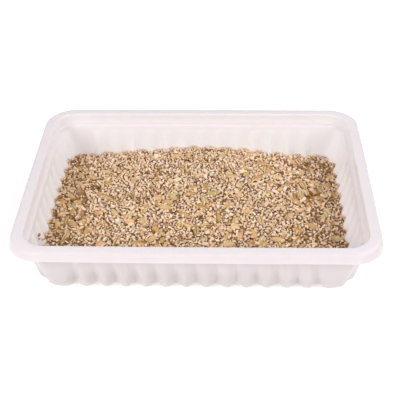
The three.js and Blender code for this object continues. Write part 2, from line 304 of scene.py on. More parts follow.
def tray_mesh(material):
    """The whole tray, from the middle of its underside over the rim to the middle of its floor."""
    outer = wall_sections(0)
    inner = wall_sections(SHEET)
    rim = rounded_profile(outer[0], RIM_UNDER + RIM_TOP, inner[0])
    sections = [*outer[::-1], *rim[1:], *inner]
    rings = [plan_ring(section) for section in sections]
    for share in BASE_RINGS:
        rings.insert(0, rings[0] * [share, share, 1])
        rings.append(rings[-1] * [share, share, 1])
    verts, faces = closed_loft(rings, (0, 0, 0), (0, 0, SHEET))
    # painted light and shade: a share of the tint for each ring, held by every vertex
    shares = painted_light_shares(outer, inner)
    shares = np.append(np.repeat(shares, len(rings[0])), [shares[0], shares[-1]])
    low, high = PAINTED_LIGHT_RANGE
    painted_light = {"painted_light": (shares - low) / (high - low)}
    return make_object("tray_shell", verts, faces, material, attributes=painted_light)


# ------------------------ the bed's surface

BED_TOP = 17.6
BED_REACH = (80, 55)  # distances from the middle at which the falls below are measured
BED_FALL_X = 2.4
BED_DOME_X = 6.9
BED_DOME_Y = 3.2
BED_TWIST = 1.2
BED_LOWEST = 7.3
# Low mounds against the back wall: middle, reach along and across, and height.
BED_MOUNDS = ((5, 60, 24, 16, 1.6), (72, 57, 15, 15, 1.8), (-80, 54, 8, 8, 1.5))
BED_LUMPS = ((0.45, 9, 1), (0.3, 4, 2))  # height, width and seed of the noise on the surface
BED_EDGE_DROPS = (18, 31)  # the surface meets the wall somewhere between these
BED_EDGE_STEPS = 27
NOISE_CELLS = 64

CORE_GAP = 0.5  # between the core and the sheet
CORE_SINK = 1.3  # the closed core lies this far under the granules' surface
CORE_EDGE_DROP = 0.4  # its first ring round the side, below the lowest place of its edge
CORE_RINGS = 40  # on its top


def bed_height(x, y):
    """Height of the bed's surface, without its lumps."""
    u = x / BED_REACH[0]
    v = y / BED_REACH[1]
    dome = BED_TOP - BED_FALL_X * u - BED_DOME_X * u * u - BED_DOME_Y * v * v + BED_TWIST * u * v
    height = np.maximum(dome, BED_LOWEST)
    for mx, my, reach_x, reach_y, rise in BED_MOUNDS:
        height = height + rise * np.exp(-(((x - mx) / reach_x) ** 2) - ((y - my) / reach_y) ** 2)
    return height


def smooth_noise(x, y, cell, seed):
    """Value noise from -1 to 1 with cells of the given size."""
    table = np.random.default_rng(seed).uniform(-1, 1, (NOISE_CELLS, NOISE_CELLS))
    gx = x / cell + NOISE_CELLS / 2
    gy = y / cell + NOISE_CELLS / 2
    ix = np.floor(gx).astype(int)
    iy = np.floor(gy).astype(int)
    fx = gx - ix
    fy = gy - iy
    fx = fx * fx * (3 - 2 * fx)
    fy = fy * fy * (3 - 2 * fy)

    def at(i, j):
        return table[i % NOISE_CELLS, j % NOISE_CELLS]

    low = at(ix, iy) * (1 - fx) + at(ix + 1, iy) * fx
    high = at(ix, iy + 1) * (1 - fx) + at(ix + 1, iy + 1) * fx
    return low * (1 - fy) + high * fy


def lumpy_height(x, y):
    """Height of the bed's surface with its lumps."""
    height = bed_height(x, y)
    for rise, width, seed in BED_LUMPS:
        height = height + rise * smooth_noise(x, y, width, seed)
    return height


def bed_outline(inward):
    """The line where the surface meets the wall, found by walking down each wall point."""
    drops = np.linspace(*BED_EDGE_DROPS, BED_EDGE_STEPS)
    levels = np.array([plan_ring(wall_section(d, inward)) for d in drops])
    over = levels[:, :, 2] - bed_height(levels[:, :, 0], levels[:, :, 1])
    row = np.argmax(over <= 0, axis=0)
    row = np.clip(row, 1, len(drops) - 1)
    i = np.arange(levels.shape[1])
    above = over[row - 1, i]
    below = over[row, i]
    share = (above / (above - below))[:, None]
    return levels[row - 1, i] * (1 - share) + levels[row, i] * share


def inside(x, y, outline):
    """Which points lie inside a closed outline, by counting crossings."""
    hits = np.zeros(len(x), bool)
    ax, ay = outline[:, :2].T
    bx, by = np.roll(outline[:, :2], -1, axis=0).T
    for k in range(len(ax)):
        if ay[k] == by[k]:
            continue
        crosses = (ay[k] > y) != (by[k] > y)
        at = ax[k] + (y - ay[k]) * (bx[k] - ax[k]) / (by[k] - ay[k])
        hits ^= crosses & (x < at)
    return hits


def bed_core(material):
    """What is under the granules: a closed mass that takes the shape of the tray."""
    inward = SHEET + CORE_GAP
    edge = bed_outline(inward)
    edge[:, 2] -= CORE_SINK
    start = HEIGHT - edge[:, 2].min() + CORE_EDGE_DROP
    sections = wall_sections(inward, start=start, upper_steps=4, fillet_steps=5)
    rings = [plan_ring(section) for section in sections[::-1]]
    rings.append(edge)
    for share in np.linspace(0.97, 0.03, CORE_RINGS):
        ring = edge * [share, share, 1]
        ring[:, 2] = lumpy_height(ring[:, 0], ring[:, 1]) - CORE_SINK
        rings.append(ring)
    top = float(lumpy_height(0.0, 0.0)) - CORE_SINK
    verts, faces = closed_loft(rings, (0, 0, inward), (0, 0, top))
    # the side against the wall, which the core's material paints lighter and redder as painted light
    side = np.zeros(len(verts))
    side[:len(sections) * len(edge)] = 1
    return make_object("bed_core", verts, faces, material, attributes={"side": side})


# ------------------------ shapes that are scattered

CHIP_HALF = 0.62


def icosahedron():
    """A round lump with twelve corners, of radius 1."""
    g = (1 + 5 ** 0.5) / 2
    verts = []
    for a in (-1, 1):
        for b in (-g, g):
            verts += [(0, a, b), (a, b, 0), (b, 0, a)]
    verts = np.array(verts) / math.hypot(1, g)
    count = len(verts)
    faces = []
    # corners this close to each other share an edge
    edge = min(np.linalg.norm(verts[0] - v) for v in verts[1:]) * 1.01
    near = np.linalg.norm(verts[:, None] - verts[None], axis=-1) < edge
    for i in range(count):
        for j in range(i + 1, count):
            for k in range(j + 1, count):
                if near[i, j] and near[j, k] and near[i, k]:
                    turn = np.dot(np.cross(verts[j] - verts[i], verts[k] - verts[i]), verts[i])
                    faces.append((i, j, k) if turn > 0 else (i, k, j))
    return verts, np.array(faces)


def chip():
    """A block with eight corners, cut into triangles, for angular granules."""
    corners = [(x, y, z) for z in (-1, 1) for y in (-1, 1) for x in (-1, 1)]
    quads = [(0, 2, 3, 1), (4, 5, 7, 6), (0, 1, 5, 4), (2, 6, 7, 3), (0, 4, 6, 2), (1, 3, 7, 5)]
    faces = [t for a, b, c, d in quads for t in ((a, b, c), (a, c, d))]
    return np.array(corners) * CHIP_HALF, np.array(faces)


def random_turns(rng, count, flatness):
    """Rotation matrices: a full turn about Z after a tip that is smaller for flat-lying pieces."""
    heading = rng.uniform(0, 2 * np.pi, count)
    tip = rng.normal(0, 1, (count, 2)) * flatness
    ca, sa = np.cos(heading), np.sin(heading)
    cx, sx = np.cos(tip[:, 0]), np.sin(tip[:, 0])
    cy, sy = np.cos(tip[:, 1]), np.sin(tip[:, 1])
    zero, one = np.zeros(count), np.ones(count)
    turn_z = np.stack([ca, -sa, zero, sa, ca, zero, zero, zero, one], -1).reshape(-1, 3, 3)
    turn_x = np.stack([one, zero, zero, zero, cx, -sx, zero, sx, cx], -1).reshape(-1, 3, 3)
    turn_y = np.stack([cy, zero, sy, zero, one, zero, -sy, zero, cy], -1).reshape(-1, 3, 3)
    return turn_z @ turn_x @ turn_y


def scatter_shapes(rng, base, places, sizes, flatness, roughen):
    """Copies of a base shape, each with its own proportions, dents and turn."""
    verts, faces = base
    count = len(places)
    dents = 1 + rng.uniform(-roughen, roughen, (count, len(verts), 1))
    shape = verts[None] * dents * sizes[:, None, :]
    turned = np.einsum("nij,nkj->nki", random_turns(rng, count, flatness), shape)
    all_verts = (turned + places[:, None, :]).reshape(-1, 3)
    all_faces = (faces[None] + (np.arange(count) * len(verts))[:, None, None]).reshape(-1, 3)
    return all_verts, all_faces


# ------------------------ granules

GRANULE_LENGTH = (1.0, 1.65)  # in radii, as the next two
GRANULE_WIDTH = (0.7, 1.1)
GRANULE_THICKNESS = (0.45, 0.85)
GRANULE_TIP = 0.65  # how far from flat they lie, in radians, as a spread
GRANULE_DENT = 0.38
ANGULAR_SHARE = 0.72  # of the granules, the others being round
ROUND_SIZE = 0.85
WALL_CLEARANCE = 0.05  # between the granules and the sheet
WALL_LEVELS = (8, 34)  # drops between which granules can meet the wall
BY_WALL = (66, 40)  # nothing nearer the middle than this reaches the wall

# The dark layer underneath, its dark tones painted shade in the gaps between the granules on top: a staggered
# grid, shaken.
LOWER_SPACING = 1.25
LOWER_ROWS = 0.87  # how far apart its rows are, in spacings
LOWER_FIELD = (86, 60)  # half its length and width, before the outline cuts it
LOWER_SHAKE = (0.3, 0.25)  # sideways, and up and down
LOWER_SINK = 1.15
LOWER_RADIUS = 0.8
LOWER_SPREAD = 0.2
LOWER_TONES = (0.02, 0.27)

# Granules of the top layer: radius, and how many places are tried for it, largest first.
GRANULE_SIZES = ((1.4, 500), (1.12, 2400), (0.92, 8000), (0.74, 16000), (0.54, 20000), (0.38, 14000))
GRANULE_SPREAD = (0.9, 1.1)  # times the radius
GRANULE_CLOSENESS = 0.86  # share of two radii that their middles keep apart
GRANULE_CELL = 2.4  # side of the squares in which neighbours are looked up
UPPER_FIELD = (84, 58)  # half its length and width
UPPER_RISE = 0.1
UPPER_SHAKE = 0.28
UPPER_STAND = (0.25, 0.7)  # rise for each millimetre of radius over the second number

# Tones go from 0, the darkest, to 1.
TONE_RANGE = (0.23, 1)
TONE_DRIFT = (0.1, 8, 5)  # amount, width and seed of the noise
TONE_FALL = (0.27, 0.2)  # painted shade: how much darker the left and the right end are
TONE_FALL_START = 52
TONE_FALL_REACH = 25
TONE_LOWEST = 0.1
SPECK_SHARE = 0.012

# The heap against the wall.
EDGE_INSET = 0.7
EDGE_SPACING = 0.5
EDGE_HEAP = 1.0
EDGE_NOISE = (5, 9)  # width and seed
EDGE_SHAKE = 0.5
EDGE_RADIUS = 0.55
EDGE_SPREAD = 0.3
EDGE_LARGEST = 0.75
EDGE_TONES = (0.2, 0.75)

# Crumbs that stick to the left wall near the front: place along the wall, drop, and size.
WALL_CRUMBS = ((-35.3, 15.5, 0.7), (-36.0, 17.5, 0.5), (-34.0, 19.5, 0.75), (-32.3, 20.5, 0.5),
               (-42.6, 16.6, 0.55), (-41.0, 18.8, 0.65), (-37.8, 21.0, 0.6), (-31.0, 17.8, 0.4))
CRUMB_STAND = 0.35  # their middles' distance from the wall
CRUMB_RADIUS = 1.3
CRUMB_TONES = (0.12, 0.34)

# Granules round a grain: share of its half length, distance from its middle line, and rise.
UNDER_GRAIN = (0.75, 1.0, -1.0)
OVER_GRAIN = (1, 1.3, 0.7)
BESIDE_GRAIN = (1.15, 2.6, 0.35)
OVER_SHARE = 0.13  # of the granules may lie over a grain
OVER_PICK = (7.3, 3.1)  # picks them by their place, with no pattern that shows
DEEP_GRAIN = 0.3  # granules stay on a grain that is sunk by this or more


def held_in(verts):
    """Points pushed back to the inside of the sheet where they reach into it."""
    verts = verts.copy()
    drop = np.floor(HEIGHT - verts[:, 2])
    by_wall = (np.abs(verts[:, 0]) > BY_WALL[0]) | (np.abs(verts[:, 1]) > BY_WALL[1])
    for level in range(*WALL_LEVELS):
        near = np.flatnonzero(by_wall & (drop == level))
        ring = plan_ring(wall_section(level + 1, SHEET))[:, :2]
        along = np.roll(ring, -1, axis=0) - np.roll(ring, 1, axis=0)
        outward = np.stack([along[:, 1], -along[:, 0]], -1) / np.linalg.norm(along, axis=1)[:, None]
        outward *= np.sign(np.sum(outward * ring))
        offset = verts[near, None, :2] - ring
        closest = np.argmin(np.sum(offset ** 2, axis=2), axis=1)
        past = np.sum(offset[np.arange(len(near)), closest] * outward[closest], axis=1) + WALL_CLEARANCE
        verts[near, :2] -= np.maximum(past, 0)[:, None] * outward[closest]
    return verts


def granule_piece(name, rng, places, radii, tone, material):
    """One piece of many granules: most of them angular shards, the rest rounder lumps."""
    count = len(places)
    ranges = (GRANULE_LENGTH, GRANULE_WIDTH, GRANULE_THICKNESS)
    sizes = np.stack([radii * rng.uniform(*between, count) for between in ranges], -1)
    angular = rng.uniform(0, 1, count) < ANGULAR_SHARE
    sizes[~angular] *= ROUND_SIZE
    tint = rng.uniform(0, 1, count)
    parts = []
    offset = 0
    for base, chosen in ((chip(), angular), (icosahedron(), ~angular)):
        v, f = scatter_shapes(rng, base, places[chosen], sizes[chosen], GRANULE_TIP, GRANULE_DENT)
        corners = len(base[0])
        values = [np.repeat(value[chosen], corners) for value in (tone, tint)]
        parts.append((held_in(v), f + offset, *values))
        offset += len(v)
    verts, faces, tones, tints = [np.concatenate(column) for column in zip(*parts)]
    attributes = {"tone": tones, "tint": tints}
    return make_object(name, verts, faces, material, smooth=False, attributes=attributes)


def lower_layer(rng, outline):
    """Places of a closed layer: a staggered grid, shaken, inside the outline."""
    reach_x, reach_y = LOWER_FIELD
    sideways, upward = LOWER_SHAKE
    rows = np.arange(-reach_y, reach_y, LOWER_SPACING * LOWER_ROWS)
    columns = np.arange(-reach_x, reach_x, LOWER_SPACING)
    y, x = np.meshgrid(rows, columns, indexing="ij")
    x = x + (np.arange(len(rows)) % 2)[:, None] * LOWER_SPACING / 2
    x = x.ravel() + rng.uniform(-sideways, sideways, x.size)
    y = y.ravel() + rng.uniform(-sideways, sideways, y.size)
    keep = inside(x, y, outline)
    x, y = x[keep], y[keep]
    z = lumpy_height(x, y) - LOWER_SINK + rng.uniform(-upward, upward, len(x))
    return np.stack([x, y, z], -1)


def has_room(taken, cell, x, y, radius):
    """Whether a granule at (x, y) keeps far enough from those in the cells round its own."""
    for i in (-1, 0, 1):
        for j in (-1, 0, 1):
            for qx, qy, qr in taken.get((cell[0] + i, cell[1] + j), ()):
                if (x - qx) ** 2 + (y - qy) ** 2 <= (GRANULE_CLOSENESS * (radius + qr)) ** 2:
                    return False
    return True


def packed_layer(rng, outline):
    """Granules of many sizes side by side: large ones first, small ones into the room left."""
    reach_x, reach_y = UPPER_FIELD
    taken = {}
    spots = []
    for radius, tries in GRANULE_SIZES:
        x = rng.uniform(-reach_x, reach_x, tries)
        y = rng.uniform(-reach_y, reach_y, tries)
        size = radius * rng.uniform(*GRANULE_SPREAD, tries)
        keep = inside(x, y, outline)
        for spot in zip(x[keep], y[keep], size[keep]):
            cell = (int(spot[0] // GRANULE_CELL), int(spot[1] // GRANULE_CELL))
            if has_room(taken, cell, *spot):
                taken.setdefault(cell, []).append(spot)
                spots.append(spot)
    x, y, radii = np.array(spots).T
    rise, middling = UPPER_STAND
    shake = rng.uniform(-UPPER_SHAKE, UPPER_SHAKE, len(x))
    z = lumpy_height(x, y) + UPPER_RISE + shake + rise * (radii - middling)
    return np.stack([x, y, z], -1), radii


def make_way_for_grains(places, footprints):
    """Granules under a grain go down, those beside it come up, and a few lie over it."""
    under_length, under_width, under_rise = UNDER_GRAIN
    over_length, over_width, over_rise = OVER_GRAIN
    beside_length, beside_width, beside_rise = BESIDE_GRAIN
    over = np.mod(places[:, 0] * OVER_PICK[0] + places[:, 1] * OVER_PICK[1], 1) < OVER_SHARE
    for middle, nose, half, sink in footprints:
        offset = places[:, :2] - middle
        along = np.abs(offset @ nose) / half
        across = np.abs(offset @ np.array([-nose[1], nose[0]]))
        if sink < DEEP_GRAIN:
            places[(along < under_length) & (across < under_width) & ~over, 2] += under_rise
        places[(along < over_length) & (across < over_width) & over, 2] += over_rise
        beside = (across >= under_width) & (across < beside_width)
        places[(along < beside_length) & beside, 2] += beside_rise
    return places


def granule_tones(rng, places):
    """Tones that drift over the bed, darker at both ends as painted shade, with a few very dark specks."""
    x, y = places[:, 0], places[:, 1]
    amount, width, seed = TONE_DRIFT
    tone = rng.uniform(*TONE_RANGE, len(x)) + amount * smooth_noise(x, y, width, seed)
    to_end = np.clip((np.abs(x) - TONE_FALL_START) / TONE_FALL_REACH, 0, 1)
    tone -= np.where(x < 0, *TONE_FALL) * to_end
    tone = np.clip(tone, TONE_LOWEST, 1)
    return np.where(rng.uniform(0, 1, len(x)) < SPECK_SHARE, 0.0, tone)


def edge_granules(rng, material):
    """Granules heaped unevenly against the wall, all the way round."""
    line = bed_outline(SHEET + EDGE_INSET)
    steps = np.linalg.norm(np.roll(line, -1, axis=0) - line, axis=1)
    walked = np.concatenate([[0], np.cumsum(steps)])
    closed = np.concatenate([line, line[:1]])
    count = int(walked[-1] / EDGE_SPACING)
    at = rng.uniform(0, walked[-1], count)
    places = np.stack([np.interp(at, walked, closed[:, k]) for k in range(3)], -1)
    heap = smooth_noise(places[:, 0], places[:, 1], *EDGE_NOISE)
    places[:, 2] += np.maximum(0, EDGE_HEAP * heap) + rng.uniform(-EDGE_SHAKE, EDGE_SHAKE, count)
    radii = EDGE_RADIUS * rng.lognormal(0, EDGE_SPREAD, count)
    tones = rng.uniform(*EDGE_TONES, count)
    return granule_piece("granules_edge", rng, places, np.minimum(radii, EDGE_LARGEST), tones, material)


def wall_crumbs(rng, material):
    """Crumbs on the inside of the wall, each at the wall point nearest to its place."""
    places = []
    for y, drop, _ in WALL_CRUMBS:
        ring = plan_ring(wall_section(drop, SHEET))
        left = ring[ring[:, 0] < 0]
        nearest = left[np.argmin(np.abs(left[:, 1] - y))]
        places.append(nearest + [CRUMB_STAND, 0, 0])
    radii = CRUMB_RADIUS * np.array([size for _, _, size in WALL_CRUMBS])
    tones = rng.uniform(*CRUMB_TONES, len(radii))
    return granule_piece("wall_crumbs", rng, np.array(places), radii, tones, material)


# ------------------------ chaff

CHAFF_COUNT = 150
CHAFF_TRIES = 3  # places tried for each sliver
CHAFF_FIELD = ((-82, 82), (-50, 56))
CHAFF_LIFT = (0.5, 1.0)
CHAFF_LENGTH = (1.8, 3.6)
CHAFF_WIDTH = (0.4, 0.75)
CHAFF_THICKNESS = (0.15, 0.28)
CHAFF_TIP = 0.2
CHAFF_DENT = 0.25
CHAFF_TONES = (0.55, 0.95)


def chaff_piece(rng, outline, material):
    """Thin straw slivers that lie on the granules."""
    along, across = CHAFF_FIELD
    x = rng.uniform(*along, CHAFF_TRIES * CHAFF_COUNT)
    y = rng.uniform(*across, CHAFF_TRIES * CHAFF_COUNT)
    keep = np.flatnonzero(inside(x, y, outline))[:CHAFF_COUNT]
    x, y = x[keep], y[keep]
    count = len(x)
    places = np.stack([x, y, lumpy_height(x, y) + rng.uniform(*CHAFF_LIFT, count)], -1)
    ranges = (CHAFF_LENGTH, CHAFF_WIDTH, CHAFF_THICKNESS)
    sizes = np.stack([rng.uniform(*between, count) for between in ranges], -1)
    base = chip()
    verts, faces = scatter_shapes(rng, base, places, sizes, CHAFF_TIP, CHAFF_DENT)
    tone = np.repeat(rng.uniform(*CHAFF_TONES, count), len(base[0]))
    return make_object("chaff", verts, faces, material, smooth=False, attributes={"tone": tone})


# ------------------------ grains

GRAIN_STATIONS = 17
GRAIN_AROUND = 40
GRAIN_ENDS = 0.98  # the last stations, before they are bunched towards the tips
GRAIN_BEND = 0.05  # at most, as a share of its length
WIDEST_SHIFT = 0.1  # moves the widest place towards one end
HUSKED_TAPER = (2.0, 0.85)  # exponents of the outline: a husked grain is pointed
NAKED_TAPER = (2.6, 0.5)
HUSK_TIP = 1.1  # the husk's point, as a share of half the length
CREASE_WIDTH = 0.3  # radians, as the next four
RIB_REACH = 1.6
RIB_PITCH = 0.64
HEM_ANGLE = 0.85  # the husk's edges, on both sides of the crease
HEM_WIDTH = 0.13
CREASE_DEPTH = 0.4  # depths are shares of the radius
HUSK_DEPTH = 0.06
RIB_SHADE = 0.4
HEM_SHADE = 0.6
END_SHADE = 0.55
END_SHADE_START = 0.72  # share of the half length
END_SHADE_REACH = 0.28

# For each slot: length of a covered grain, width, thickness, and whether it has its husk.
GRAIN_KINDS = {
    "grain_golden": (8.8, 3.6, 2.9, True),
    "grain_green": (8.4, 3.3, 2.7, True),
    "grain_orange": (6.2, 3.3, 2.9, False),
}
GRAIN_TONES = (0.05, 0.5)
CREASE_UP_SHARE = 0.35  # of the grains lie with their crease up
SEED_ROLL = 0.3  # radians, at most

# More grains, partly covered: thick in these places (middle, reach, how many), then anywhere.
GRAIN_CLUSTERS = (
    (60, 16, 12, 15), (36, 32, 18, 9), (-74, -8, 12, 11), (-62, -20, 12, 6), (42, -29, 12, 7),
    (-14, -33, 26, 9), (4, -12, 20, 8), (-56, 18, 16, 5),
)
CLUSTER_SPREAD = (0.5, 0.4)  # along and across, in reaches
SCATTERED_GRAINS = 60
SCATTERED_FIELD = ((-82, 82), (-46, 56))
COVERED_KINDS = ("grain_golden", "grain_golden", "grain_golden", "grain_green", "grain_orange")
COVERED_ROOM = 4.2  # between their middles
COVERED_TRIES = 12
COVERED_TIP = 0.16  # radians, as a spread, and the roll as well
COVERED_ROLL = 0.5
COVERED_SINK = (0.0, 0.75)
COVERED_LENGTH = (0.85, 1.05)  # times the kind's length


def wrapped(angle):
    """The same angle between -pi and pi."""
    return np.angle(np.exp(1j * angle))


def grain_mesh(rng, length, width, thickness, husked):
    """One grain along X, its crease on the underside, and the shade and streak of each vertex."""
    t = np.sin(np.linspace(-GRAIN_ENDS, GRAIN_ENDS, GRAIN_STATIONS) * np.pi / 2)[:, None]
    angle = np.linspace(0, 2 * np.pi, GRAIN_AROUND, endpoint=False)[None, :]
    to_back = wrapped(angle - np.pi / 2)
    to_belly = wrapped(angle + np.pi / 2)
    s = t - WIDEST_SHIFT * (1 - t * t)
    inner, outer = HUSKED_TAPER if husked else NAKED_TAPER
    swell = np.clip(1 - np.abs(s) ** inner, 0, 1) ** outer
    crease = np.exp(-((to_belly / CREASE_WIDTH) ** 2))
    rib = 0.5 - 0.5 * np.cos(to_back * 2 * np.pi / RIB_PITCH)
    rib = husked * np.where(np.abs(to_back) < RIB_REACH, rib, 0)
    hem = husked * np.exp(-(((np.abs(to_belly) - HEM_ANGLE) / HEM_WIDTH) ** 2))
    radial = 1 - CREASE_DEPTH * crease * swell - HUSK_DEPTH * rib * swell - HUSK_DEPTH * hem
    bend = rng.uniform(-GRAIN_BEND, GRAIN_BEND) * length
    x = 0.5 * length * t + 0 * angle
    y = 0.5 * width * swell * np.cos(angle) * radial + bend * (1 - t * t)
    z = 0.5 * thickness * swell * np.sin(angle) * radial
    tip = 0.5 * length
    end = (tip * (HUSK_TIP if husked else 1.0), 0, 0)
    verts, faces = closed_loft(np.stack([x, y, z], -1), (-tip, 0, 0), end)
    ends = np.clip((np.abs(t) - END_SHADE_START) / END_SHADE_REACH, 0, 1) ** 2
    # painted shade in the crease, in the valleys between the ribs and along the hems; the ends are darker as
    # well
    shade = np.maximum(crease, RIB_SHADE * rib + HEM_SHADE * hem) + END_SHADE * ends
    streak = rng.uniform(0, 1, (1, GRAIN_AROUND)) + 0 * t
    shade = np.append(np.clip(shade, 0, 1).ravel(), [1, 1])
    return verts, faces, shade, np.append(streak.ravel(), [0.5, 0.5])


def node_axes(node):
    """Middle, nose direction, upward direction and length of a grain's solid, from its vertices."""
    co = np.array([v.co for v in frame["nodes"][node].data.vertices]) / MM
    low, high = co.min(0), co.max(0)
    middle = (low + high) / 2
    _, _, axes = np.linalg.svd(co - co.mean(0), full_matrices=False)
    nose, up = axes[0], axes[2]
    up = up if up[2] > 0 else -up
    length = np.ptp(co @ nose)
    return middle, nose, up, length


def surface_frame(x, y, heading):
    """The bed's surface at a place: its nose direction for a heading, and its normal."""
    step = 1.0
    slope_x = (bed_height(x + step, y) - bed_height(x - step, y)) / (2 * step)
    slope_y = (bed_height(x, y + step) - bed_height(x, y - step)) / (2 * step)
    up = np.array([-slope_x, -slope_y, 1.0])
    up /= np.linalg.norm(up)
    nose = np.array([math.cos(heading), math.sin(heading), 0.0])
    nose -= up * (nose @ up)
    return nose / np.linalg.norm(nose), up


def place(verts, middle, nose, up, roll):
    """A grain modelled along X, moved to its middle, laid along nose and rolled about its length."""
    side = np.cross(up, nose)
    basis = np.stack([nose, side, np.cross(nose, side)], -1)
    c, s = math.cos(roll), math.sin(roll)
    spin = np.array([[1, 0, 0], [0, c, -s], [0, s, c]])
    return verts @ (basis @ spin).T + middle


def turned_over(rng):
    """Half a turn for the grains that lie with their crease up, and none for the others."""
    return math.pi if rng.uniform() < CREASE_UP_SHARE else 0


class GrainPiece:
    """Collects grains that become one object."""

    def __init__(self):
        self.verts = []
        self.faces = []
        self.attributes = []
        self.count = 0

    def add(self, rng, slot, length, middle, nose, up, roll):
        _, width, thickness, husked = GRAIN_KINDS[slot]
        verts, faces, shade, streak = grain_mesh(rng, length, width, thickness, husked)
        self.verts.append(place(verts, middle, nose, up, roll))
        self.faces += [f + self.count for f in faces]
        self.attributes.append((np.full(len(verts), rng.uniform(*GRAIN_TONES)), shade, streak))
        self.count += len(verts)

    def finish(self, name, slot):
        keys = ("tone", "shade", "streak")
        values = [np.concatenate(column) for column in zip(*self.attributes)]
        grain = make_object(
            name, np.concatenate(self.verts), self.faces, HUSKS[slot], attributes=dict(zip(keys, values)))
        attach(grain, "root")
        return grain


def covered_places(rng, outline, footprints):
    """Places for the covered grains: (x, y) with room to every grain that is already there."""
    along, across = CLUSTER_SPREAD
    wanted = [(x, y, reach) for x, y, reach, count in GRAIN_CLUSTERS for _ in range(count)]
    wanted += [None] * SCATTERED_GRAINS
    for cluster in wanted:
        for _ in range(COVERED_TRIES):
            if cluster:
                x, y, reach = cluster
                px, py = rng.normal((x, y), (along * reach, across * reach))
            else:
                px, py = [rng.uniform(*field) for field in SCATTERED_FIELD]
            clear = all(math.hypot(px - f[0][0], py - f[0][1]) > COVERED_ROOM for f in footprints)
            if clear and inside(np.array([px]), np.array([py]), outline)[0]:
                yield px, py
                break


# ------------------------ materials


class Look:
    """A material in the making: its shader, and the nodes that feed it."""

    def __init__(self, name):
        self.material = bpy.data.materials.new(name)
        self.material.use_nodes = True
        self.nodes = self.material.node_tree.nodes
        self.links = self.material.node_tree.links
        self.nodes.clear()
        output = self.nodes.new("ShaderNodeOutputMaterial")
        self.shader = self.nodes.new("ShaderNodeBsdfPrincipled")
        self.links.new(self.shader.outputs["BSDF"], output.inputs["Surface"])
        self.coords = self.nodes.new("ShaderNodeTexCoord").outputs["Object"]

    def set(self, settings):
        """Sets sockets of the shader that are the same all over the surface."""
        for name, value in settings.items():
            self.shader.inputs[name].default_value = value

    def color(self, color):
        self.links.new(color, self.shader.inputs["Base Color"])

    def attribute(self, name):
        """A value that the mesh holds for each vertex."""
        node = self.nodes.new("ShaderNodeAttribute")
        node.attribute_name = name
        return node.outputs["Fac"]

    def noise(self, scale, detail, roughness=0.5):
        noise = self.nodes.new("ShaderNodeTexNoise")
        noise.inputs["Scale"].default_value = scale
        noise.inputs["Detail"].default_value = detail
        noise.inputs["Roughness"].default_value = roughness
        self.links.new(self.coords, noise.inputs["Vector"])
        return noise.outputs["Fac"]

    def ramp(self, factor, stops):
        """A color that goes through the stops, (position, color), as the factor goes up."""
        ramp = self.nodes.new("ShaderNodeValToRGB")
        elements = ramp.color_ramp.elements
        while len(elements) > 1:
            elements.remove(elements[-1])
        elements[0].position = stops[0][0]
        elements[0].color = (*stops[0][1], 1)
        for position, color in stops[1:]:
            elements.new(position).color = (*color, 1)
        self.links.new(factor, ramp.inputs["Fac"])
        return ramp.outputs["Color"]

    def plus(self, value, factor, other):
        """The value times the factor, plus the other value."""
        total = self.nodes.new("ShaderNodeMath")
        total.operation = "MULTIPLY_ADD"
        self.links.new(value, total.inputs[0])
        total.inputs[1].default_value = factor
        self.links.new(other, total.inputs[2])
        return total.outputs["Value"]

    def product(self, one, other):
        product = self.nodes.new("ShaderNodeMix")
        product.data_type = "RGBA"
        product.blend_type = "MULTIPLY"
        product.inputs["Factor"].default_value = 1
        self.links.new(one, product.inputs["A"])
        self.links.new(other, product.inputs["B"])
        return product.outputs["Result"]

    def tinted(self, color, factor, low, high):
        """The color times a tint that goes from low to high as the factor goes from 0 to 1."""
        tint = self.nodes.new("ShaderNodeMix")
        tint.data_type = "RGBA"
        tint.inputs["A"].default_value = (*low, 1)
        tint.inputs["B"].default_value = (*high, 1)
        self.links.new(factor, tint.inputs["Factor"])
        return self.product(color, tint.outputs["Result"])

    def bump(self, height, strength, distance):
        """Relief, its distance in metres."""
        bump = self.nodes.new("ShaderNodeBump")
        bump.inputs["Strength"].default_value = strength
        bump.inputs["Distance"].default_value = distance
        self.links.new(height, bump.inputs["Height"])
        self.links.new(bump.outputs["Normal"], self.shader.inputs["Normal"])


def plastic_material():
    """Milky formed sheet, a little translucent, with a faint cloud and orange peel, and light and shade
    painted on by region.
    """
    look = Look("tray_plastic")
    cloud = look.noise(scale=45, detail=3)
    tint = look.ramp(cloud, [(0.3, (0.888, 0.837, 0.803)), (0.7, (0.898, 0.847, 0.813))])
    low, high = PAINTED_LIGHT_RANGE
    gray = (low * 1.01, low * 0.97, low * 0.99)
    bright = (high, high, high * 1.08)
    # painted light and shade: the tint goes from gray to bright with the share that each vertex holds
    look.color(look.tinted(tint, look.attribute("painted_light"), gray, bright))
    look.set({
        "Roughness": 0.3,
        "IOR": 1.49,
        "Subsurface Weight": 1.0,
        "Subsurface Radius": (1.0, 0.95, 1.15),
        "Subsurface Scale": 0.0016,
    })
    look.bump(look.noise(scale=900, detail=2), strength=0.06, distance=0.0002)
    return look.material


